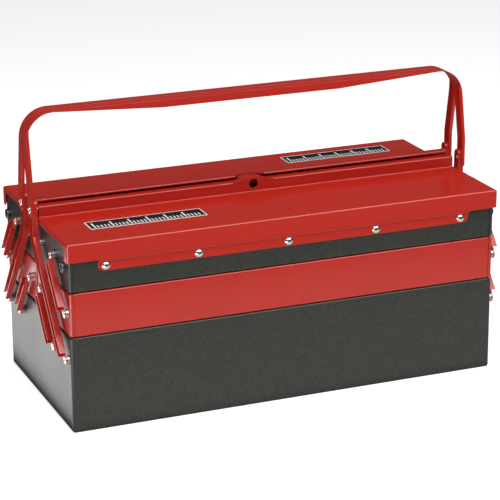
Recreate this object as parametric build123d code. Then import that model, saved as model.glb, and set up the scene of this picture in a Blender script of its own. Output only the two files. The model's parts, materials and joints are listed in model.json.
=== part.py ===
from build123d import *
import os

# A five-compartment cantilever toolbox in sheet steel: a deep base, two middle
# trays, two upper trays with hinged lids, and two lever handles that spread the
# trays to the front and to the back.
# Millimetres. X runs along the box, -Y is the front, Z is up, and the origin is
# at the centre of the base's underside.

# ---- overall sizes ----
length = 560.0             # base and trays, end to end
depth = 256.0              # base, front face to back face
baseHeight = 120.5
middleHeight = 54.4
upperHeight = 60.0
handleTop = 367.5          # floor to the top of the handles

# ---- sheet and trays ----
sheet = 1.0
trayGap = 0.8              # a tray's underside above the rim that it stands over
innerGap = 1.5             # between the two trays of one level
bendRadius = 2.6           # outside radius of the long folds
endRadius = 3.2            # outside radius of a pressed end panel's edge
endWrap = 5.0              # how far an end panel's flange wraps round the shell
seamGap = 1.1              # open seam beside an end panel's flange
baseSeamGap = 0.0          # the base's seams are closed
tongueLap = 3.0            # shell's stepped end under its outer skin
hemWidth = 5.0             # folded rim of a long wall

# ---- linkage, in the plane of each end ----
pivotBelowRim = 28.5       # base pivots below the base's rim
pivotEdge = 8.0            # outer base pivot from the base's face
trayPivotEdge = 7.0        # outermost middle pivot from the tray's face
topPivotOut = 24.0         # the lever's top tray pivot from the centre plane
pivotStep = 4.1            # a link climbs this much more than the middle tray's height
kneeRise = 7.0             # the lever turns upright this far above its top pivot
channelWidth = 11.6        # lever and link channels
channelDepth = 7.6
channelSheet = 1.2
wallGap = 3.5              # end panel to the back of a channel
flangeCut = 9.0            # flanges stop this far from a pivot

# ---- rivets, spacers and stop pegs ----
rivetRadius = 2.4
rivetClearance = 0.06
rivetHead = 4.4
rivetTail = 3.6            # head on the inside of the sheet
rivetHeadThick = 1.0
rivetDimple = 1.7
headPlay = 0.12            # between a rivet's head and the channel
spacerRadius = 5.2
pegRadius = 6.3
pegBore = 3.6
pegReach = 4.5
pegEdge = 13.5             # peg from the tray's face
pegHeight = 29.5           # peg above the upper tray's underside

# ---- handles ----
handleSheet = 1.2
handlePlay = 0.2           # handle's flanges beside the lever
handleGap = 0.6            # between the two handles where they run side by side
handleBend = 35.0          # outside radius of the corners
handleRivetRise = 12.0     # rivet above the flat of the lids
handleFoot = 9.0           # leg goes on this far below its rivet
handleStraight = 26.0      # upright part of the leg above its rivet
handleLean = 85.0          # height above the rivet where the two handles meet
legFlange = 4.2
gripFlange = 9.5           # at the middle of the grip, from nothing at the bends
gripFlangeFull = 117.0     # half the length where the grip's flange is at full depth

# ---- lids ----
lidSheet = 0.9
lidRest = 0.6              # lid's underside above the tray's rim
lidEndLap = 2.5            # lid beyond the end panel
flapHeight = 22.8          # front edge turned down
endFlange = 5.5            # edge turned down at the ends
cornerReturn = 10.5        # flap turned round the corner
lidFold = 2.4              # outside radius of the lid's edges
ridgeIn = 16.0             # ridge wall from the centre plane
ridgeHeight = 14.0         # ridge above the flat of the front lid
backRidgeExtra = 2.5       # the back lid's ridge stands a little higher
ridgeEndIn = 0.5           # ridge's end inside the end panel
ridgeFoot = 3.0            # width of the ridge's fold on the flat
ridgeFold = 1.4
frontLipGap = 4.6          # front ridge's edge from the centre plane, to the front
backLipGap = 3.4           # back ridge's rolled edge, to the front
rollRadius = 1.55

# ---- padlock eye ----
padlockRadius = 5.8
padlockRise = 10.2         # centre above the flat of the lids
archHalf = 6.0             # raised arch over the hole
archSlope = 15.0
archRise = 3.4
archSoft = 38.0            # radius of the arch's bends
tongueHalf = 15.0
tongueOut = 3.4            # tongue's edge behind the centre plane
notchMouth = 19.5          # half width at the back lid's edge
notchBack = 13.0
notchDepth = 13.0
notchRound = 7.0
tabDrop = 14.5             # the back lid's eye plate hangs this far

# ---- piano hinges ----
hingeEnd = 36.0            # hinge's end from the tray's end
leafDrop = 14.2            # tray leaf below the pin
leafCorner = 8.0
leafSheet = 0.8
lidLeafRise = 15.0
knuckleRadius = 1.7
pinRadius = 0.9
pinClearance = 0.05
knucklePitch = 19.5        # about, fitted to an odd number
knuckleGap = 0.35
knuckleOff = 0.2           # knuckle clear of the tray's face
pinBelowFlap = 1.0
leafGap = 0.3
domeRadius = 5.5
domeHeight = 3.0
domeCount = 5
domeShank = 2.0
domeTail = 3.2
domeTailThick = 0.9
domeEnd = 10.6             # outer rivet from the leaf's end
domeDrop = 8.2             # rivet below the pin

# ---- label plates ----
labelLength = 148.0
labelWidth = 29.0
labelThick = 0.4
labelEnd = 45.0            # from the lid's end
frontLabelEdge = 54.5      # label's middle from the tray's face
backLabelEdge = 32.0

# ---- derived places ----
halfLength = length / 2
frontFace = -depth / 2
outerPivot = depth / 2 - pivotEdge
linkReach = (outerPivot - topPivotOut) / 2
linkRise = middleHeight + pivotStep
pivotSpacing = depth / 2 - trayPivotEdge - outerPivot + linkReach
pivotHeight = baseHeight - pivotBelowRim
pegOut = depth / 2 - pegEdge
middleBottom = baseHeight + trayGap
middleTop = middleBottom + middleHeight
upperBottom = middleTop + trayGap
upperTop = upperBottom + upperHeight
lidUnder = upperTop + lidRest
lidTop = lidUnder + lidSheet
flapBottom = lidTop - flapHeight
webInner = halfLength + wallGap
webOuter = webInner + channelSheet
channelTip = webInner + channelDepth
handleInner = channelTip
handleOuter = handleInner + handleSheet
innerPivot = outerPivot - pivotSpacing
levelTwo = pivotHeight + linkRise
levelThree = levelTwo + linkRise
handleWidth = channelWidth + 2 * (handleSheet + handlePlay)
handleRivetHeight = lidTop + handleRivetRise
padlockHeight = lidTop + padlockRise
handleCentre = (handleWidth + handleGap) / 2
lidHalf = halfLength + lidEndLap
hingeLength = length - 2 * hingeEnd
knuckleCount = 2 * int(hingeLength / knucklePitch / 2) + 1
knuckleY = frontFace - knuckleOff - knuckleRadius
pinZ = flapBottom - pinBelowFlap
flapInnerY = knuckleY - knuckleRadius
flapOuterY = flapInnerY - lidSheet
slope = linkReach / linkRise
kneeHeight = levelThree + kneeRise
kneeY = -(outerPivot - linkReach * 2) + slope * kneeRise


# ---- helpers ----
def block(x0, x1, y0, y1, z0, z1):
    """A box between two corners."""
    solid = Box(abs(x1 - x0), abs(y1 - y0), abs(z1 - z0))
    return Pos((x0 + x1) / 2, (y0 + y1) / 2, (z0 + z1) / 2) * solid


def across(radius, x0, x1, y, z):
    """A cylinder along X from x0 to x1."""
    return Pos((x0 + x1) / 2, y, z) * Rot(0, 90, 0) * Cylinder(radius, abs(x1 - x0))


def throughY(radius, y0, y1, x, z):
    """A cylinder along Y from y0 to y1."""
    return Pos(x, (y0 + y1) / 2, z) * Rot(90, 0, 0) * Cylinder(radius, abs(y1 - y0))


def alongX(face, x0, x1):
    """A face drawn as (y, z) extruded along X from x0 to x1."""
    plane = Plane(origin=(x0, 0, 0), x_dir=(0, 1, 0), z_dir=(1, 0, 0))
    return extrude(plane * face, amount=x1 - x0)


def alongY(face, y0, y1):
    """A face drawn as (x, z) extruded along Y from y0 to y1."""
    plane = Plane(origin=(0, y1, 0), x_dir=(1, 0, 0), z_dir=(0, -1, 0))
    return extrude(plane * face, amount=y1 - y0)


def polygon(points):
    """A closed face through its corner points."""
    return make_face(Polyline(*points, close=True).edges())


def strip(points, thick, radius):
    """A bent sheet's section: a line with round corners, thickened to both sides."""
    middle = FilletPolyline(*points, radius=radius) if len(points) > 2 else Line(*points)
    return make_face(offset(Wire(middle.edges()), amount=thick / 2, side=Side.BOTH).edges())


def mirrorBack(solid):
    """The same piece on the back half of the box."""
    return mirror(solid, about=Plane.XZ)


def mirrorLeft(solid):
    """The same piece at the other end of the box."""
    return mirror(solid, about=Plane.YZ)


def save(solids, name):
    """One STEP file for each named piece or group of like pieces."""
    group = solids if isinstance(solids, list) else [solids]
    parts = [solid for shape in group for solid in shape.solids()]
    shape = parts[0] if len(parts) == 1 else Compound(children=parts)
    shape.label = name
    export_step(shape, os.path.join("parts", name + ".step"))


# ---- trays and base ----
def troughSection(y0, y1, z0, z1, inset, hems):
    """Section of a long folded sheet: wall, floor and wall, with folded rims."""
    half = sheet / 2 + inset
    low = z0 + half
    high = z1 - half
    left = y0 + half
    right = y1 - half
    points = [(left, high), (left, low), (right, low), (right, high)]
    if hems:
        hem = hemWidth - sheet / 2
        points = [(left + hem, high)] + points + [(right - hem, high)]
    return strip(points, sheet, bendRadius - sheet / 2 - inset)


def trough(y0, y1, z0, z1, gap):
    """The long sheet of a tray, with a stepped tongue that the end panels cover."""
    skinHalf = halfLength - endWrap - gap
    tongueHalfLength = halfLength - endRadius - 0.2
    skin = alongX(troughSection(y0, y1, z0, z1, 0.0, True), -skinHalf, skinHalf)
    section = troughSection(y0, y1, z0, z1, sheet, False)
    shell = skin
    for side in (-1, 1):
        inner = side * (skinHalf - tongueLap)
        outer = side * tongueHalfLength
        tongue = alongX(section, min(inner, outer), max(inner, outer))
        hemRoom = block(inner, outer, y0, y1, z1 - sheet, z1 + 1)
        shell += tongue - hemRoom
    return shell


def endPanel(y0, y1, z0, z1):
    """The right end: a pressed panel with a flange all round, open to the inside."""
    def pressed(inset, x0):
        outline = Rectangle(y1 - y0 - 2 * inset, z1 - z0 - 2 * inset)
        outline = Pos((y0 + y1) / 2, (z0 + z1) / 2) * outline
        lower = outline.vertices().sort_by(Axis.Y)[:2]
        outline = fillet(lower, bendRadius - inset)
        solid = alongX(outline, x0, halfLength - inset)
        rim = solid.faces().sort_by(Axis.X)[-1].edges()
        return fillet(rim, endRadius - inset)
    inner = halfLength - endWrap
    return pressed(0.0, inner) - pressed(sheet, inner - 1)


def pivotHoles(panel, places):
    """Rivet holes through an end panel."""
    for y, z in places:
        panel -= across(rivetRadius, halfLength - endWrap - 1, halfLength + 1, y, z)
    return panel


# ---- rivets, spacers, pegs ----
def tubularRivet(y, z, innerX, backX, frontX):
    """Right-hand hollow rivet: inner head, shank and a dimpled outer head."""
    shank = across(rivetRadius, innerX, frontX, y, z)
    tail = across(rivetTail, innerX - rivetHeadThick, innerX, y, z)
    head = across(rivetHead, frontX, frontX + rivetHeadThick, y, z)
    head = fillet(head.edges().group_by(Axis.X)[-1], rivetHeadThick * 0.7)
    dimple = across(rivetDimple, frontX - 1.2, frontX + rivetHeadThick + 1, y, z)
    return shank + tail + head - dimple


def trayRivet(y, z):
    return tubularRivet(y, z, halfLength - sheet, webInner, webOuter + headPlay)


def traySpacer(y, z):
    ring = across(spacerRadius, halfLength, webInner - headPlay, y, z)
    return ring - across(rivetRadius, halfLength - 1, webInner + 1, y, z)


def stopPeg():
    """A hollow stand-off on the upper tray's end."""
    y = -pegOut
    z = upperBottom + pegHeight
    body = across(pegRadius, halfLength, halfLength + pegReach, y, z)
    body = fillet(body.edges().group_by(Axis.X)[-1], 1.0)
    return body - across(pegBore, halfLength + 1.5, halfLength + pegReach + 1, y, z)


# ---- levers and links ----
def channel(points, clips):
    """A channel along a line of pivots: a web by the end panel and two outward flanges."""
    outer = strip(points, channelWidth, channelWidth)
    inner = strip(points, channelWidth - 2 * channelSheet, channelWidth)
    flanges = alongX(outer, webInner, channelTip)
    flanges -= alongX(inner, webInner - 1, channelTip + 1)
    for y, z in (points[0], points[-1]):
        outer += Pos(y, z) * Circle(channelWidth / 2)
    web = alongX(outer, webInner, webOuter)
    for y, z in clips:
        flanges -= across(flangeCut, webOuter, channelTip + 1, y, z)
    return web + flanges


def shortLink(y, z):
    """A link with a round tab and a hole at each end."""
    top = (y + linkReach, z + linkRise)
    link = channel([(y, z), top], [(y, z), top])
    for pivot in ((y, z), top):
        link -= across(rivetRadius + rivetClearance, webInner - 1, webOuter + 1, *pivot)
    return link


def lever():
    """The long arm: two tray pivots on the way up, then an upright end for the handle."""
    low = (-outerPivot, pivotHeight)
    knee = (kneeY, kneeHeight)
    top = (kneeY, handleRivetHeight + channelWidth / 2)
    arm = channel([low, knee, top], [low])
    pivots = [low, (low[0] + linkReach, levelTwo), (low[0] + 2 * linkReach, levelThree)]
    for pivot in pivots:
        arm -= across(rivetRadius + rivetClearance, webInner - 1, webOuter + 1, *pivot)
    arm -= across(rivetRadius, webInner - 1, webOuter + 1, kneeY, handleRivetHeight)
    return arm


def handleOutline(inset):
    """The handle seen from the end: upright foot, a lean to the middle, upright again."""
    half = handleWidth / 2 - inset
    points = [
        (kneeY, handleRivetHeight - handleFoot),
        (kneeY, handleRivetHeight + handleStraight),
        (-handleCentre, handleRivetHeight + handleLean),
        (-handleCentre, handleTop + 5),
    ]
    return strip(points, half * 2, handleWidth * 2)


def handleRing(bottom, flanged):
    """The handle seen from the front: a strip bent to a U, or the depth of its flanges."""
    def arch(inset, foot):
        tall = handleTop - inset - foot
        shape = Pos(0, foot + tall / 2) * Rectangle(2 * (handleOuter - inset), tall)
        return fillet(shape.vertices().group_by(Axis.Y)[-1], handleBend - inset)
    outerX = handleOuter
    bend = handleBend
    legTop = handleTop - bend
    t = handleSheet
    outer = arch(0.0, bottom)
    inner = arch(t, bottom - 1)
    if not flanged:
        return outer - inner
    legX = outerX - legFlange
    half = [
        (legX, bottom - 1),
        (legX, legTop + bend * 0.38),
        (outerX, handleTop),
        (outerX - bend, handleTop - t),
        (gripFlangeFull, handleTop - gripFlange),
    ]
    points = half + [(-x, z) for x, z in reversed(half)]
    return outer - (polygon(points) & inner)


def handle():
    """A U-shaped channel strip with deep flanges at the grip and shallow ones on the legs."""
    bottom = handleRivetHeight - handleFoot - 1
    reach = handleWidth * 3
    full = alongX(handleOutline(0.0), -handleOuter - 1, handleOuter + 1)
    core = alongX(handleOutline(handleSheet), -handleOuter - 1, handleOuter + 1)
    web = alongY(handleRing(bottom, False), -reach, reach) & full
    flanges = alongY(handleRing(bottom, True), -reach, reach) & (full - core)
    solid = web + flanges
    for side in (-1, 1):
        x0 = side * (handleInner - 1)
        x1 = side * (handleOuter + 1)
        solid -= across(rivetRadius, x0, x1, kneeY, handleRivetHeight)
    return solid


def handleRivet():
    """Joins the lever's upright end to the handle's leg."""
    return tubularRivet(kneeY, handleRivetHeight, webInner, webInner, handleOuter)


# ---- lids ----
def lidPan(inset):
    """The lid's flat, flap and ends as one rounded solid, smaller by the inset all round."""
    past = 1.0 if inset else 0.0
    half = lidHalf - inset
    bottom = flapBottom - past
    pan = block(-half, half, flapOuterY + inset, -ridgeIn + past, bottom, lidTop - inset)
    corners = pan.edges().filter_by(Axis.Z).group_by(Axis.Y)[0]
    pan = fillet(corners, lidFold - inset)
    rim = pan.faces().sort_by(Axis.Z)[-1].edges().filter_by(lambda e: e.center().Y < -ridgeIn - 0.5)
    return fillet(rim, lidFold - inset)


def lidBody(ridgeTop, lipY):
    """A lid's sheet: flat, flap, turned-down ends, and a ridge that is cut a little shorter."""
    half = lidSheet / 2
    body = lidPan(0.0) - lidPan(lidSheet)
    for side in (-1, 1):
        inner = side * (lidHalf - lidFold)
        outer = side * (lidHalf + 1)
        body -= block(inner, outer, flapOuterY + cornerReturn, 0, flapBottom - 1, lidTop - endFlange)
    ridgeHalf = halfLength - ridgeEndIn
    ridge = [
        (-ridgeIn - ridgeFoot, lidTop - half),
        (-ridgeIn + half, lidTop - half),
        (-ridgeIn + half, ridgeTop - half),
        (lipY, ridgeTop - half),
    ]
    return body + alongX(strip(ridge, lidSheet, ridgeFold), -ridgeHalf, ridgeHalf)


def frontLid():
    """The front lid, with a raised arch and a tongue around the padlock hole."""
    ridgeTop = lidTop + ridgeHeight
    wallFront = -ridgeIn
    wallBack = wallFront + lidSheet
    half = lidSheet / 2
    body = lidBody(ridgeTop, -frontLipGap)
    wide = archHalf + archSlope
    body -= block(-wide, wide, wallBack, 0, ridgeTop - lidSheet - 1, ridgeTop + 1)
    reach = wide + 6
    arch = [
        (-reach, ridgeTop - half),
        (-wide, ridgeTop - half),
        (-archHalf, ridgeTop + archRise - half),
        (archHalf, ridgeTop + archRise - half),
        (wide, ridgeTop - half),
        (reach, ridgeTop - half),
    ]
    cover = alongY(strip(arch, lidSheet, archSoft), wallFront, tongueOut)
    for side in (-1, 1):
        x0 = side * tongueHalf
        x1 = side * (wide + 7)
        cover -= block(x0, x1, -frontLipGap, tongueOut + 1, ridgeTop - 2, ridgeTop + 9)
    foot = lidTop - half
    line = FilletPolyline(*arch, radius=archSoft)
    sides = Polyline(arch[-1], (reach, foot), (-reach, foot), arch[0])
    face = make_face(line.edges() + sides.edges())
    body += cover
    body += alongY(face, wallFront, wallBack)
    return body - throughY(padlockRadius, wallFront - 1, wallBack + 1, 0, padlockHeight)


def backLid():
    """The back lid, built on the front side: rolled edge, notch and padlock eye plate."""
    ridgeTop = lidTop + ridgeHeight + backRidgeExtra
    rollY = backLipGap - rollRadius
    rollZ = ridgeTop + rollRadius - lidSheet
    body = lidBody(ridgeTop, rollY)
    ridgeHalf = halfLength - ridgeEndIn
    body += across(rollRadius, -ridgeHalf, ridgeHalf, rollY, rollZ)
    notch = Plane.XY * polygon([
        (-notchMouth, backLipGap + 1),
        (notchMouth, backLipGap + 1),
        (notchMouth, backLipGap - 1),
        (notchBack, backLipGap - notchDepth),
        (-notchBack, backLipGap - notchDepth),
        (-notchMouth, backLipGap - 1),
    ])
    notch = fillet(notch.vertices().group_by(Axis.Y)[0], notchRound)
    body -= Pos(0, 0, ridgeTop - 4) * extrude(notch, amount=12)
    tabY = backLipGap - notchDepth
    tab = block(-notchBack, notchBack, tabY - lidSheet, tabY, ridgeTop - tabDrop, ridgeTop)
    body += tab
    return body - throughY(padlockRadius, tabY - lidSheet, tabY, 0, padlockHeight)


def labelPlate(out):
    """A blank plate on the flat of a lid, near its left end."""
    plate = Box(labelLength, labelWidth, labelThick)
    plate = fillet(plate.edges().filter_by(Axis.Z), 1.2)
    x = -(lidHalf - labelEnd - labelLength / 2)
    return Pos(x, -out, lidTop + labelThick / 2) * plate


# ---- piano hinge, front ----
def domePlaces():
    """Where the hinge's rivets stand, as (x, z)."""
    span = hingeLength - 2 * domeEnd
    step = span / (domeCount - 1)
    return [(-span / 2 + index * step, pinZ - domeDrop) for index in range(domeCount)]


def domeHoles(solid):
    """Rivet holes along the hinge through a leaf or the tray's wall."""
    for x, z in domePlaces():
        solid -= throughY(domeShank, frontFace - 3, frontFace + 3, x, z)
    return solid


def knuckleSpans(first):
    """Every second knuckle along the hinge, as (x0, x1)."""
    pitch = hingeLength / knuckleCount
    spans = []
    for index in range(first, knuckleCount, 2):
        start = -hingeLength / 2 + index * pitch
        spans.append((start + knuckleGap / 2, start + pitch - knuckleGap / 2))
    return spans


def knuckles(first, tabY0, tabY1, tabZ0, tabZ1):
    """Knuckles with the tabs that join them to their leaf."""
    body = None
    for x0, x1 in knuckleSpans(first):
        piece = across(knuckleRadius, x0, x1, knuckleY, pinZ)
        piece += block(x0, x1, tabY0, tabY1, tabZ0, tabZ1)
        piece -= across(pinRadius + pinClearance, x0 - 1, x1 + 1, knuckleY, pinZ)
        body = piece if body is None else body + piece
    return body


def trayLeaf():
    """The leaf riveted to the tray, with round lower corners."""
    top = pinZ - knuckleRadius - leafGap
    bottom = pinZ - leafDrop
    half = hingeLength / 2
    plate = block(-half, half, frontFace - leafSheet, frontFace, bottom, top)
    low = plate.edges().filter_by(Axis.Y).group_by(Axis.Z)[0]
    plate = domeHoles(fillet(low, leafCorner))
    return plate + knuckles(0, frontFace - leafSheet, frontFace - knuckleOff, top - 0.5, pinZ)


def lidLeaf():
    """The leaf behind the lid's flap."""
    bottom = pinZ + knuckleRadius + leafGap
    half = hingeLength / 2
    plate = block(-half, half, flapInnerY, flapInnerY + leafSheet, bottom, pinZ + lidLeafRise)
    return plate + knuckles(1, flapInnerY, flapInnerY + leafSheet, pinZ, bottom + 0.5)


def hingePin():
    half = hingeLength / 2
    return across(pinRadius, -half + 0.5, half - 0.5, knuckleY, pinZ)


def domeRivets():
    """Dome-headed rivets through the tray leaf and the tray's wall."""
    rivets = []
    sphere = (domeRadius ** 2 + domeHeight ** 2) / (2 * domeHeight)
    leafY = frontFace - leafSheet
    wallIn = frontFace + sheet
    for x, z in domePlaces():
        ball = Pos(x, leafY - domeHeight + sphere, z) * Sphere(sphere)
        dome = ball & block(x - 20, x + 20, leafY - 20, leafY, z - 20, z + 20)
        dome += throughY(domeShank, leafY - 0.5, wallIn, x, z)
        dome += throughY(domeTail, wallIn, wallIn + domeTailThick, x, z)
        rivets.append(dome)
    return rivets


# ---- groups ----
def bothEnds(piece):
    return [piece, mirrorLeft(piece)]


def buildBase():
    half = depth / 2
    save(trough(-half, half, 0.0, baseHeight, baseSeamGap), "base_shell")
    holes = [(side * y, pivotHeight) for side in (-1, 1) for y in (innerPivot, outerPivot)]
    right = pivotHoles(endPanel(-half, half, 0.0, baseHeight), holes)
    save(right, "base_end_right")
    save(mirrorLeft(right), "base_end_left")
    rivets = [trayRivet(y, z) for y, z in holes]
    spacers = [traySpacer(y, z) for y, z in holes]
    save(rivets + [mirrorLeft(r) for r in rivets], "base_rivets")
    save(spacers + [mirrorLeft(s) for s in spacers], "base_spacers")


def buildTray(name, z0, z1, places, side, turn):
    """One half-depth tray with its end panels, rivets and spacers."""
    y0 = frontFace
    y1 = -innerGap / 2
    shell = trough(y0, y1, z0, z1, seamGap)
    if name == "upper":
        shell = domeHoles(shell)
    save(turn(shell), side + "_" + name + "_tray")
    right = pivotHoles(endPanel(y0, y1, z0, z1), places)
    save(turn(right), side + "_" + name + "_end_right")
    save(turn(mirrorLeft(right)), side + "_" + name + "_end_left")
    rivets = [trayRivet(y, z) for y, z in places]
    spacers = [traySpacer(y, z) for y, z in places]
    both = rivets + [mirrorLeft(r) for r in rivets]
    save([turn(r) for r in both], side + "_" + name + "_rivets")
    both = spacers + [mirrorLeft(s) for s in spacers]
    save([turn(s) for s in both], side + "_" + name + "_spacers")


def buildSide(side, turn, lid, label):
    """All the pieces of the front half, or of the back half when turned over."""
    outer = -outerPivot + linkReach
    middlePlaces = [(outer - pivotSpacing, levelTwo), (outer, levelTwo), (outer + pivotSpacing, levelTwo)]
    top = -outerPivot + 2 * linkReach
    upperPlaces = [(top - pivotSpacing, levelThree), (top, levelThree)]
    buildTray("middle", middleBottom, middleTop, middlePlaces, side, turn)
    buildTray("upper", upperBottom, upperTop, upperPlaces, side, turn)
    save([turn(p) for p in bothEnds(stopPeg())], side + "_stop_pegs")
    lower = shortLink(-innerPivot, pivotHeight)
    upper = shortLink(outer - pivotSpacing, levelTwo)
    arm = lever()
    for end, place in (("right", lambda s: s), ("left", mirrorLeft)):
        save(turn(place(lower)), side + "_lower_link_" + end)
        save(turn(place(upper)), side + "_upper_link_" + end)
        save(turn(place(arm)), side + "_lever_" + end)
    save(turn(handle()), side + "_handle")
    save([turn(r) for r in bothEnds(handleRivet())], side + "_handle_rivets")
    save(turn(lid), side + "_lid")
    save(turn(label), side + "_label")
    save(turn(trayLeaf()), side + "_hinge_tray_leaf")
    save(turn(lidLeaf()), side + "_hinge_lid_leaf")
    save(turn(hingePin()), side + "_hinge_pin")
    save([turn(r) for r in domeRivets()], side + "_hinge_rivets")


def main():
    os.makedirs("parts", exist_ok=True)
    buildBase()
    buildSide("front", lambda s: s, frontLid(), labelPlate(depth / 2 - frontLabelEdge))
    buildSide("back", mirrorBack, backLid(), mirrorLeft(labelPlate(depth / 2 - backLabelEdge)))


main()
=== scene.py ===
import bpy
import bmesh
import json
import math
from mathutils import Matrix, Vector


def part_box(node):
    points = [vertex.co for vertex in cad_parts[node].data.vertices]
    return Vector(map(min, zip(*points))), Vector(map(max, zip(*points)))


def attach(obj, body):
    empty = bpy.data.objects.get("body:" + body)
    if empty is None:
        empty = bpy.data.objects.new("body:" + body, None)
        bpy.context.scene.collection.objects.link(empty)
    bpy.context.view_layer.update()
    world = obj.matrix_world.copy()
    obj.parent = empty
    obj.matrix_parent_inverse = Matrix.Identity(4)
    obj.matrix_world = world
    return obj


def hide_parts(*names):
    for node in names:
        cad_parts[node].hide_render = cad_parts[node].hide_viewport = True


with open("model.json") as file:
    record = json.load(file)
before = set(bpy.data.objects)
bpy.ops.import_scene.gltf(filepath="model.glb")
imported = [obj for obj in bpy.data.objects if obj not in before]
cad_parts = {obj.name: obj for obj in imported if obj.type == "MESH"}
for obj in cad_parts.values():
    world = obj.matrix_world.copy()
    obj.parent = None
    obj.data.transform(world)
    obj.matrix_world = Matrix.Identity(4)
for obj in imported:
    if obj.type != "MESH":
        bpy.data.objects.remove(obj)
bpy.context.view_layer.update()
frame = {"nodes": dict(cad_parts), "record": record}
nodes = frame["nodes"]
bodies = frame["record"]["behaviour"]["bodies"]
slotOf = {part["node"]: part["material_slot"] for part in frame["record"]["subparts"]}
bodyOf = {node: body for body, members in bodies.items() for node in members}
mm = 0.001

# ---- what a user would change, in millimetres unless a note says otherwise ----
redPaint = {"color": (0.50, 0.022, 0.011), "deep": (0.45, 0.014, 0.007), "roughness": 0.20,
            "specular": 0.50, "peelSize": 2.6, "peelDepth": 0.004}
greyPaint = {"color": (0.024, 0.026, 0.020), "fleck": (0.085, 0.088, 0.076), "roughness": 0.38,
             "specular": 0.45, "peelSize": 1.3, "peelDepth": 0.030}
brightSteel = {"color": (0.80, 0.79, 0.76), "roughness": 0.20, "grain": 0.08}
plainSteel = {"color": (0.55, 0.55, 0.54), "roughness": 0.34, "grain": 0.15}
darkSteel = {"color": (0.16, 0.16, 0.155), "roughness": 0.36, "grain": 0.12}
labelPrint = {"border": 1.5, "pitch": 4.6, "tick": 1.7, "tall": 0.66, "short": 0.34,
              "paper": (0.80, 0.80, 0.79), "ink": (0.006, 0.006, 0.007), "roughness": 0.42, "specular": 0.22}
edges = {"sheet": 0.34, "channel": 0.36, "handle": 0.40, "label": 0.10, "ring": 0.15, "segments": 2}
# rim, dimple, tail and shank are shares of the head's radius
tubular = {"rim": 0.55, "dimple": 0.42, "tail": 0.8, "shank": 0.54, "tailThick": 0.9, "tailSlope": 1.0,
           "under": 1.02, "head": 1.0, "skirt": 0.75, "lip": 0.5, "hole": 1.6, "steps": 40}
domes = {"tail": 0.58, "shank": 0.36, "skirt": 0.97, "tailThick": 0.9, "tall": 3.0, "steps": 48, "rings": 10}
panel = {"longEnd": 25.0, "shortEnd": 371.0, "outer": 24.5, "inner": 97.5, "slope": 2.6, "rise": 0.55,
         "steps": 5}
endMark = {"bars": 3, "length": 120.0, "middle": 0.6, "height": 3.2, "pitch": 5.6, "up": 30.0, "back": 48.0,
           "thick": 0.06, "round": 0.02, "ink": (0.008, 0.008, 0.008), "worn": (0.016, 0.016, 0.015),
           "roughness": 0.4}
lights = {
    "key": {"at": (-0.5, -2.0, 2.2), "size": (1.1, 1.1), "power": 6.0},
    "top": {"at": (0.0, -0.45, 2.2), "size": (2.8, 2.0), "power": 47.0},
    "ridge": {"at": (0.0, -1.05, 1.25), "size": (2.2, 0.22), "power": 5.5},
}
studio = {"world": 0.08, "floor": 0.80, "floorGlow": 0.66, "floorSize": 14.0, "exposure": 0.0}
# bright cards that only reflections see: a product table, a glint for the near corners, a glow beside
# the left end, and a soft box overhead for the folds
cards = {
    "table": {"x": (-0.90, 0.90), "y": (-0.56, -0.14), "z": 0.0, "glow": 0.75},
    "glint": {"x": (-1.05, -0.42), "y": (-0.78, -0.20), "z": 0.0, "glow": 7.0},
    "beside": {"x": (-0.60, -0.295), "y": (-0.13, 0.50), "z": 0.0, "glow": 2.4},
    "overhead": {"x": (-1.30, 1.30), "y": (-1.50, -0.30), "z": 1.3, "glow": 4.5},
}
camera = {"at": (-0.9699, -2.3730, 1.0059), "yaw": 22.257, "pitch": 18.353, "roll": -0.329, "lens": 152.96}


# ---- node helpers ----
def wire(tree, source, target):
    tree.links.new(source, target)
    return target


def put(tree, kind, **values):
    node = tree.nodes.new(kind)
    for key, value in values.items():
        setattr(node, key, value)
    return node


def feed(tree, node, key, value):
    socket = node.inputs[key]
    if isinstance(value, bpy.types.NodeSocket):
        tree.links.new(value, socket)
    else:
        socket.default_value = value
    return node


def math2(tree, operation, first, second=None):
    node = put(tree, "ShaderNodeMath", operation=operation)
    feed(tree, node, 0, first)
    if second is not None:
        feed(tree, node, 1, second)
    return node.outputs[0]


def newGroup(name, inputs, outputs):
    group = bpy.data.node_groups.new(name, "ShaderNodeTree")
    for key, value in inputs.items():
        socket = group.interface.new_socket(key, in_out="INPUT", socket_type="NodeSocketFloat")
        socket.default_value = value
    for key in outputs:
        group.interface.new_socket(key, in_out="OUTPUT", socket_type="NodeSocketFloat")
    return group, put(group, "NodeGroupInput"), put(group, "NodeGroupOutput")


def useGroup(tree, group, values):
    node = put(tree, "ShaderNodeGroup", node_tree=group)
    for key, value in values.items():
        node.inputs[key].default_value = value
    return node


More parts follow.
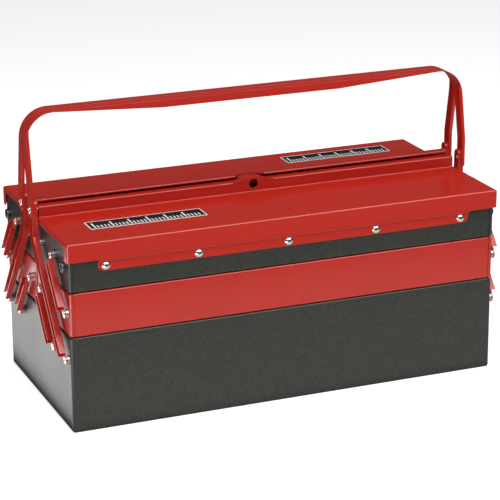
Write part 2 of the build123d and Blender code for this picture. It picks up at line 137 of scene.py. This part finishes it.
# paint skin: fine peel for the bump, flecks and broad patches for colour and gloss
def makeSkinGroup():
    group, given, result = newGroup("paintSkin", {"peelSize": 1.0}, ("Height", "Fleck", "Patch"))
    place = put(group, "ShaderNodeTexCoord").outputs["Object"]
    scale = math2(group, "DIVIDE", 1.0 / mm, given.outputs["peelSize"])
    peel = put(group, "ShaderNodeTexNoise")
    feed(group, peel, "Vector", place)
    feed(group, peel, "Scale", scale)
    feed(group, peel, "Detail", 2.0)
    feed(group, peel, "Roughness", 0.6)
    cells = put(group, "ShaderNodeTexVoronoi", feature="F1")
    feed(group, cells, "Vector", place)
    feed(group, cells, "Scale", scale)
    broad = put(group, "ShaderNodeTexNoise")
    feed(group, broad, "Vector", place)
    feed(group, broad, "Scale", 14.0)
    feed(group, broad, "Detail", 3.0)
    half = math2(group, "MULTIPLY", cells.outputs["Distance"], 0.5)
    height = math2(group, "ADD", peel.outputs[0], half)
    fleck = put(group, "ShaderNodeMapRange")
    feed(group, fleck, "Value", peel.outputs[0])
    feed(group, fleck, "From Min", 0.50)
    feed(group, fleck, "From Max", 0.72)
    wire(group, height, result.inputs["Height"])
    wire(group, fleck.outputs["Result"], result.inputs["Fleck"])
    wire(group, broad.outputs[0], result.inputs["Patch"])
    return group


# brushed or plated metal: short streaks along the piece
def makeMetalGroup():
    group, given, result = newGroup("metalGrain", {"grain": 0.1}, ("Gloss", "Height"))
    place = put(group, "ShaderNodeTexCoord").outputs["Object"]
    streak = put(group, "ShaderNodeTexNoise")
    feed(group, streak, "Vector", place)
    feed(group, streak, "Scale", 900.0)
    feed(group, streak, "Detail", 4.0)
    gloss = math2(group, "MULTIPLY", streak.outputs[0], given.outputs["grain"])
    wire(group, gloss, result.inputs["Gloss"])
    wire(group, streak.outputs[0], result.inputs["Height"])
    return group


# a repeating bar: 1 inside the bar, 0 outside, along one coordinate
def bars(tree, along, pitch, width):
    step = math2(tree, "FRACT", math2(tree, "DIVIDE", along, pitch))
    return math2(tree, "LESS_THAN", step, width / pitch)


def startMaterial(name, roughness):
    material = bpy.data.materials.new(name)
    material.use_nodes = True
    tree = material.node_tree
    shader = tree.nodes["Principled BSDF"]
    shader.inputs["Roughness"].default_value = roughness
    return material, tree, shader


def mixColor(tree, factor, first, second):
    node = put(tree, "ShaderNodeMix", data_type="RGBA")
    feed(tree, node, "Factor", factor)
    node.inputs[6].default_value = (*first, 1.0)
    node.inputs[7].default_value = (*second, 1.0)
    return node.outputs[2]


def addBump(tree, shader, height, depth):
    bump = put(tree, "ShaderNodeBump")
    feed(tree, bump, "Height", height)
    feed(tree, bump, "Strength", 1.0)
    feed(tree, bump, "Distance", depth * mm)
    wire(tree, bump.outputs["Normal"], shader.inputs["Normal"])


def paintMaterial(name, look, second, share):
    material, tree, shader = startMaterial(name, look["roughness"])
    skin = useGroup(tree, skinGroup, {"peelSize": look["peelSize"]})
    mask = math2(tree, "MULTIPLY", skin.outputs[share], 0.55)
    wire(tree, mixColor(tree, mask, look["color"], second), shader.inputs["Base Color"])
    gloss = math2(tree, "MULTIPLY_ADD", skin.outputs["Patch"], 0.10)
    gloss.node.inputs[2].default_value = look["roughness"] - 0.05
    wire(tree, gloss, shader.inputs["Roughness"])
    shader.inputs["Specular IOR Level"].default_value = look["specular"]
    addBump(tree, shader, skin.outputs["Height"], look["peelDepth"])
    return material


def metalMaterial(name, look):
    material, tree, shader = startMaterial(name, look["roughness"])
    shader.inputs["Base Color"].default_value = (*look["color"], 1.0)
    shader.inputs["Metallic"].default_value = 1.0
    grain = useGroup(tree, metalGroup, {"grain": look["grain"]})
    gloss = math2(tree, "ADD", grain.outputs["Gloss"], look["roughness"] - look["grain"] / 2)
    wire(tree, gloss, shader.inputs["Roughness"])
    addBump(tree, shader, grain.outputs["Height"], 0.004)
    return material


# a plain printed plate: pale border, dark field and ruler ticks of two heights
def labelMaterial(name, node, look):
    low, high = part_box(node)
    material, tree, shader = startMaterial(name, look["roughness"])
    shader.inputs["Specular IOR Level"].default_value = look["specular"]
    place = put(tree, "ShaderNodeSeparateXYZ")
    wire(tree, put(tree, "ShaderNodeTexCoord").outputs["Object"], place.inputs[0])
    edge = look["border"] * mm
    inside = None
    for axis in (0, 1):
        middle = (low[axis] + high[axis]) / 2
        away = math2(tree, "ABSOLUTE", math2(tree, "SUBTRACT", place.outputs[axis], middle))
        within = math2(tree, "LESS_THAN", away, (high[axis] - low[axis]) / 2 - edge)
        inside = within if inside is None else math2(tree, "MULTIPLY", inside, within)
    along = math2(tree, "SUBTRACT", place.outputs[0], low[0] + 4.0 * edge)
    across = math2(tree, "SUBTRACT", place.outputs[1], low[1] + 2.2 * edge)
    wide = high[1] - low[1]
    ticks = bars(tree, along, look["pitch"] * mm, look["tick"] * mm)
    fifth = bars(tree, along, look["pitch"] * 5 * mm, look["tick"] * 1.3 * mm)
    short = math2(tree, "LESS_THAN", across, wide * look["short"])
    tall = math2(tree, "LESS_THAN", across, wide * look["tall"])
    above = math2(tree, "GREATER_THAN", across, 0.0)
    shortTicks = math2(tree, "MULTIPLY", ticks, short)
    tallTicks = math2(tree, "MULTIPLY", fifth, tall)
    marks = math2(tree, "MAXIMUM", shortTicks, tallTicks)
    before = math2(tree, "GREATER_THAN", along, 0.0)
    past = math2(tree, "LESS_THAN", place.outputs[0], high[0] - 4.0 * edge)
    within = math2(tree, "MULTIPLY", before, past)
    marks = math2(tree, "MULTIPLY", math2(tree, "MULTIPLY", marks, above), within)
    dark = math2(tree, "MULTIPLY", inside, math2(tree, "SUBTRACT", 1.0, marks))
    wire(tree, mixColor(tree, dark, look["paper"], look["ink"]), shader.inputs["Base Color"])
    skin = useGroup(tree, skinGroup, {"peelSize": 1.4})
    addBump(tree, shader, skin.outputs["Height"], 0.004)
    return material


# ---- mesh helpers ----
def cleanMesh(node):
    source = nodes[node].data
    bm = bmesh.new()
    bm.from_mesh(source)
    bmesh.ops.remove_doubles(bm, verts=bm.verts, dist=1e-6)
    bmesh.ops.dissolve_limit(bm, angle_limit=math.radians(0.6), verts=bm.verts, edges=bm.edges)
    bmesh.ops.recalc_face_normals(bm, faces=bm.faces)
    return bm


def toObject(bm, name):
    bm.verts.index_update()
    verts = [v.co.copy() for v in bm.verts]
    faces = [[v.index for v in f.verts] for f in bm.faces]
    bm.free()
    mesh = bpy.data.meshes.new(name)
    mesh.from_pydata(verts, [], faces)
    obj = bpy.data.objects.new(name, mesh)
    bpy.context.scene.collection.objects.link(obj)
    return obj


def smooth(mesh, degrees):
    mesh.shade_smooth()
    mesh.set_sharp_from_angle(angle=math.radians(degrees))


def bake(obj):
    bpy.context.view_layer.update()
    graph = bpy.context.evaluated_depsgraph_get()
    mesh = bpy.data.meshes.new_from_object(obj.evaluated_get(graph), depsgraph=graph)
    obj.modifiers.clear()
    old = obj.data
    obj.data = mesh
    bpy.data.meshes.remove(old)
    mesh.name = obj.name
    return obj


def roundEdges(obj, width, degrees=38.0):
    smooth(obj.data, degrees)
    bevel = obj.modifiers.new("edges", "BEVEL")
    bevel.width = width * mm
    bevel.segments = edges["segments"]
    bevel.limit_method = "ANGLE"
    bevel.angle_limit = math.radians(degrees)
    bevel.use_clamp_overlap = True
    weighted = obj.modifiers.new("flats", "WEIGHTED_NORMAL")
    weighted.keep_sharp = True
    weighted.weight = 90
    return bake(obj)


def dress(obj, material, slotName, body, *replaced):
    obj.data.materials.clear()
    obj.data.materials.append(material)
    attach(obj, body)
    if replaced:
        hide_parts(*replaced)
    return obj


def finishNode(node, material, width, shape=None):
    bm = cleanMesh(node)
    if shape:
        shape(bm)
    obj = roundEdges(toObject(bm, node + "_look"), width)
    return dress(obj, material, slotOf[node], bodyOf[node], node)


# boxes of the separate solids of a grouped CAD node
def islands(node):
    bm = cleanMesh(node)
    left = set(bm.verts)
    found = []
    while left:
        stack = [left.pop()]
        points = [stack[0].co.copy()]
        while stack:
            for edge in stack.pop().link_edges:
                for vert in edge.verts:
                    if vert in left:
                        left.remove(vert)
                        stack.append(vert)
                        points.append(vert.co.copy())
        low = Vector(min(p[i] for p in points) for i in range(3))
        high = Vector(max(p[i] for p in points) for i in range(3))
        found.append((low, high))
    bm.free()
    return found


# ---- geometry nodes for fasteners ----
def lathe(profile, steps):
    # a profile of (radius, height) turned about +Z
    mesh = bpy.data.meshes.new("profile")
    verts = []
    faces = []
    count = len(profile)
    for i in range(steps):
        turn = 2 * math.pi * i / steps
        verts += [(r * math.cos(turn), r * math.sin(turn), h) for r, h in profile]
    for i in range(steps):
        after = (i + 1) % steps
        for k in range(count - 1):
            faces.append((i * count + k, after * count + k, after * count + k + 1, i * count + k + 1))
    mesh.from_pydata(verts, [], faces)
    bm = bmesh.new()
    bm.from_mesh(mesh)
    bmesh.ops.remove_doubles(bm, verts=bm.verts, dist=1e-7)
    bmesh.ops.holes_fill(bm, edges=bm.edges, sides=0)
    bmesh.ops.recalc_face_normals(bm, faces=bm.faces)
    bm.to_mesh(mesh)
    bm.free()
    smooth(mesh, 40.0)
    obj = bpy.data.objects.new("profile", mesh)
    bpy.context.scene.collection.objects.link(obj)
    obj.hide_render = True
    return obj


def makeScatterTree():
    tree = bpy.data.node_groups.new("fasteners", "GeometryNodeTree")
    face = tree.interface
    face.new_socket("Points", in_out="INPUT", socket_type="NodeSocketGeometry")
    face.new_socket("Fastener", in_out="INPUT", socket_type="NodeSocketObject")
    face.new_socket("Tilt", in_out="INPUT", socket_type="NodeSocketFloat").default_value = 0.02
    face.new_socket("Seed", in_out="INPUT", socket_type="NodeSocketInt").default_value = 7
    face.new_socket("Finish", in_out="INPUT", socket_type="NodeSocketMaterial")
    face.new_socket("Geometry", in_out="OUTPUT", socket_type="NodeSocketGeometry")
    given = put(tree, "NodeGroupInput")
    result = put(tree, "NodeGroupOutput")
    info = put(tree, "GeometryNodeObjectInfo")
    wire(tree, given.outputs["Fastener"], info.inputs["Object"])
    facing = put(tree, "GeometryNodeInputNamedAttribute", data_type="FLOAT_VECTOR")
    facing.inputs["Name"].default_value = "facing"
    align = put(tree, "FunctionNodeAlignEulerToVector", axis="Z")
    wire(tree, facing.outputs["Attribute"], align.inputs["Vector"])
    turn = put(tree, "FunctionNodeRandomValue", data_type="FLOAT")
    turn.inputs["Min"].default_value = 0.0
    turn.inputs["Max"].default_value = 6.283
    wire(tree, given.outputs["Seed"], turn.inputs["Seed"])
    spin = put(tree, "ShaderNodeCombineXYZ")
    wire(tree, turn.outputs[1], spin.inputs["Z"])
    wire(tree, given.outputs["Tilt"], spin.inputs["X"])
    rotate = put(tree, "FunctionNodeRotateEuler", space="LOCAL")
    wire(tree, align.outputs[0], rotate.inputs[0])
    wire(tree, spin.outputs[0], rotate.inputs[1])
    each = put(tree, "GeometryNodeInstanceOnPoints")
    wire(tree, given.outputs["Points"], each.inputs["Points"])
    wire(tree, info.outputs["Geometry"], each.inputs["Instance"])
    wire(tree, rotate.outputs[0], each.inputs["Rotation"])
    real = put(tree, "GeometryNodeRealizeInstances")
    wire(tree, each.outputs[0], real.inputs[0])
    colour = put(tree, "GeometryNodeSetMaterial")
    wire(tree, real.outputs[0], colour.inputs["Geometry"])
    wire(tree, given.outputs["Finish"], colour.inputs["Material"])
    wire(tree, colour.outputs[0], result.inputs[0])
    return tree


def scatter(name, places, fastener, material, body, node):
    # places holds (point, outward direction)
    mesh = bpy.data.meshes.new(name)
    mesh.from_pydata([p for p, d in places], [], [])
    layer = mesh.attributes.new("facing", "FLOAT_VECTOR", "POINT")
    for i, (p, d) in enumerate(places):
        layer.data[i].vector = d
    obj = bpy.data.objects.new(name, mesh)
    bpy.context.scene.collection.objects.link(obj)
    modifier = obj.modifiers.new("fasteners", "NODES")
    modifier.node_group = scatterTree
    values = {"Fastener": fastener, "Tilt": 0.0, "Seed": 7, "Finish": material}
    for item in scatterTree.interface.items_tree:
        if item.in_out == "INPUT" and item.name in values:
            modifier[item.identifier] = values[item.name]
    bake(obj)
    return dress(obj, material, slotOf[node], body, node)


# ---- stages ----
print("materials")
skinGroup = makeSkinGroup()
metalGroup = makeMetalGroup()
finishes = {
    "red_paint": paintMaterial("redPaint", redPaint, redPaint["deep"], "Patch"),
    "grey_paint": paintMaterial("greyPaint", greyPaint, greyPaint["fleck"], "Fleck"),
    "bright_rivets": metalMaterial("brightSteel", brightSteel),
    "plain_steel": metalMaterial("plainSteel", plainSteel),
    "dark_steel": metalMaterial("darkSteel", darkSteel),
}


# a shallow raised panel on the flat of a lid, with soft sloping sides
def raisePanel(node):
    low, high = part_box(node)
    front = low.y < -0.05
    way = 1.0 if front else -1.0
    flap = low.y if front else high.y
    longX = low.x if front else high.x
    slope = panel["slope"] * mm
    xs = sorted((longX + way * panel["longEnd"] * mm, longX + way * panel["shortEnd"] * mm))
    ys = sorted((flap + way * panel["outer"] * mm, flap + way * panel["inner"] * mm))
    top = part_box(node.replace("_lid", "_label"))[0].z

    def shape(bm):
        for axis, (a, b) in ((0, xs), (1, ys)):
            normal = Vector((1, 0, 0)) if axis == 0 else Vector((0, 1, 0))
            for k in range(panel["steps"] + 1):
                inset = slope * k / panel["steps"]
                for at in (a + inset, b - inset):
                    where = normal * at
                    geom = bm.verts[:] + bm.edges[:] + bm.faces[:]
                    bmesh.ops.bisect_plane(bm, geom=geom, dist=1e-7, plane_co=where, plane_no=normal)
        for vert in bm.verts:
            if top - 0.0012 < vert.co.z < top + 0.0001:
                gap = min(vert.co.x - xs[0], xs[1] - vert.co.x, vert.co.y - ys[0], ys[1] - vert.co.y)
                if gap > 0:
                    t = min(gap / slope, 1.0)
                    vert.co.z += panel["rise"] * mm * t * t * (3 - 2 * t)
    return shape


print("sheet pieces")
for node in sorted(nodes):
    slotName = slotOf[node]
    if slotName not in ("red_paint", "grey_paint"):
        continue
    width = edges["sheet"]
    shape = None
    if "handle" in node:
        width = edges["handle"]
    elif "lever" in node or "link" in node:
        width = edges["channel"]
    elif node.endswith("_lid"):
        shape = raisePanel(node)
    finishNode(node, finishes[slotName], width, shape)

print("labels")
for side in ("front", "back"):
    node = side + "_label"
    bm = cleanMesh(node)
    # the plate sits on the raised panel
    for vert in bm.verts:
        vert.co.z += panel["rise"] * mm
    obj = roundEdges(toObject(bm, node + "_look"), edges["label"])
    dress(obj, labelMaterial(side + "Label", node, labelPrint), slotOf[node], bodyOf[node], node)

print("fasteners")
scatterTree = makeScatterTree()
profiles = []
for node in sorted(nodes):
    if node.endswith("_rivets") and "hinge" not in node:
        boxes = islands(node)
        tall = boxes[0][1].x - boxes[0][0].x
        radius = (boxes[0][1].z - boxes[0][0].z) / 2
        rim = tubular["rim"] * radius
        hole = tubular["dimple"] * radius
        tail = tubular["tail"] * radius
        shank = tubular["shank"] * radius
        skirt = tubular["skirt"] * mm
        floorAt = -tubular["hole"] * mm
        profile = [(0, -tall), (tail, -tall), (tail, -tall + tubular["tailThick"] * mm)]
        profile += [(shank, -tall + tubular["tailSlope"] * mm), (shank, -tubular["under"] * mm)]
        profile += [(radius, -tubular["head"] * mm), (radius, -skirt)]
        # over the head, then down into the dimple
        for k in range(1, 7):
            turn = math.pi / 2 * k / 6
            profile.append((radius - (radius - rim) * (1 - math.cos(turn)), -skirt + skirt * math.sin(turn)))
        for k in range(1, 5):
            turn = math.pi / 2 * k / 4
            down = -tubular["lip"] * mm * (1 - math.cos(turn))
            profile.append((rim - (rim - hole) * math.sin(turn), down))
        profile += [(hole, floorAt), (0, floorAt)]
        head = lathe(profile, tubular["steps"])
        profiles.append(head)
        places = []
        for low, high in boxes:
            way = 1.0 if high.x > 0 else -1.0
            tip = high.x if way > 0 else low.x
            places.append((Vector((tip, (low.y + high.y) / 2, (low.z + high.z) / 2)), Vector((way, 0, 0))))
        scatter(node + "_look", places, head, finishes["bright_rivets"], bodyOf[node], node)
for side in ("front", "back"):
    node = side + "_hinge_rivets"
    boxes = islands(node)
    way = -1.0 if side == "front" else 1.0
    low, high = boxes[0]
    radius = (high.z - low.z) / 2
    outer = low.y if way < 0 else high.y
    inner = high.y if way < 0 else low.y
    tall = domes["tall"] * mm
    ball = (radius ** 2 + tall ** 2) / (2 * tall)
    spread = math.asin(radius / ball)
    depth = abs(outer - inner)
    tail = domes["tail"] * radius
    shank = domes["shank"] * radius
    tailTop = -depth + domes["tailThick"] * mm
    profile = [(0, -depth), (tail, -depth), (tail, tailTop), (shank, tailTop)]
    profile += [(shank, -tall), (radius * domes["skirt"], -tall)]
    for k in range(domes["rings"], -1, -1):
        turn = spread * k / domes["rings"]
        profile.append((ball * math.sin(turn), ball * math.cos(turn) - ball))
    head = lathe(profile, domes["steps"])
    profiles.append(head)
    places = []
    for low, high in boxes:
        tip = low.y if way < 0 else high.y
        places.append((Vector(((low.x + high.x) / 2, tip, (low.z + high.z) / 2)), Vector((0, way, 0))))
    scatter(node + "_look", places, head, finishes["bright_rivets"], bodyOf[node], node)
for obj in profiles:
    bpy.data.objects.remove(obj)

print("steel pieces")
for node in sorted(nodes):
    if slotOf[node] in ("plain_steel", "dark_steel"):
        finishNode(node, finishes[slotOf[node]], edges["ring"])

print("end mark")
low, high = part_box("base_end_left")
bm = bmesh.new()
for k in range(endMark["bars"]):
    share = 1.0 if k != 1 else endMark["middle"]
    size = Vector((endMark["thick"], endMark["length"] * share, endMark["height"])) * mm
    alongEnd = (low.y + high.y) / 2 + endMark["back"] * mm
    at = Vector((low.x - size.x / 2, alongEnd, (endMark["up"] - k * endMark["pitch"]) * mm))
    made = bmesh.ops.create_cube(bm, size=1.0)["verts"]
    for vert in made:
        vert.co = Vector((vert.co.x * size.x, vert.co.y * size.y, vert.co.z * size.z)) + at
mark = roundEdges(toObject(bm, "base_end_mark"), endMark["round"])
markPaint, tree, shader = startMaterial("markPaint", endMark["roughness"])
skin = useGroup(tree, skinGroup, {"peelSize": 0.9})
ink = mixColor(tree, skin.outputs["Fleck"], endMark["ink"], endMark["worn"])
wire(tree, ink, shader.inputs["Base Color"])
addBump(tree, shader, skin.outputs["Height"], 0.02)
dress(mark, markPaint, "grey_paint", "base")

print("studio")
def stagePlane(name, x0, x1, y0, y1, color, glow):
    mesh = bpy.data.meshes.new(name)
    mesh.from_pydata([(x0, y0, 0), (x1, y0, 0), (x1, y1, 0), (x0, y1, 0)], [], [(0, 1, 2, 3)])
    plane = bpy.data.objects.new(name, mesh)
    bpy.context.scene.collection.objects.link(plane)
    paint, tree, shader = startMaterial(name + "Paint", 0.75)
    shader.inputs["Base Color"].default_value = (color, color, color, 1.0)
    shader.inputs["Emission Color"].default_value = (1.0, 1.0, 1.0, 1.0)
    shader.inputs["Emission Strength"].default_value = glow
    mesh.materials.append(paint)
    return plane


half = studio["floorSize"] / 2
floor = stagePlane("floor", -half, half, -half, half, studio["floor"], studio["floorGlow"])
floor.visible_glossy = False
for index, (name, spec) in enumerate(cards.items()):
    sheet = stagePlane(name, *spec["x"], *spec["y"], 0.0, spec["glow"])
    sheet.location.z = spec["z"] + 0.0005 * (index - 3)
    sheet.visible_camera = False
    sheet.visible_diffuse = False
    sheet.visible_shadow = False
world = bpy.data.worlds.new("studio")
world.use_nodes = True
world.node_tree.nodes["Background"].inputs["Color"].default_value = (1.0, 1.0, 1.0, 1.0)
world.node_tree.nodes["Background"].inputs["Strength"].default_value = studio["world"]
bpy.context.scene.world = world
for name, spec in lights.items():
    data = bpy.data.lights.new(name, "AREA")
    data.shape = "RECTANGLE"
    data.size, data.size_y = spec["size"]
    data.energy = spec["power"]
    lamp = bpy.data.objects.new(name, data)
    lamp.location = spec["at"]
    lamp.rotation_mode = "QUATERNION"
    lamp.rotation_quaternion = (Vector((0, 0, 0.15)) - lamp.location).to_track_quat("-Z", "Y")
    bpy.context.scene.collection.objects.link(lamp)

yaw, pitch, roll = (math.radians(camera[k]) for k in ("yaw", "pitch", "roll"))
ahead = Vector((math.sin(yaw) * math.cos(pitch), math.cos(yaw) * math.cos(pitch), -math.sin(pitch)))
right = Vector((math.cos(yaw), -math.sin(yaw), 0))
up = right.cross(ahead)
tiltRight = right * math.cos(roll) + up * math.sin(roll)
tiltUp = up * math.cos(roll) - right * math.sin(roll)
lens = bpy.data.cameras.new("photoAngle")
lens.lens = camera["lens"]
lens.sensor_width = 36.0
shot = bpy.data.objects.new("photoAngle", lens)
turn = Matrix((tiltRight, tiltUp, -ahead)).transposed().to_4x4()
shot.matrix_world = Matrix.Translation(Vector(camera["at"])) @ turn
bpy.context.scene.collection.objects.link(shot)
bpy.context.scene.camera = shot
bpy.context.scene.view_settings.view_transform = "Standard"
bpy.context.scene.view_settings.exposure = studio["exposure"]
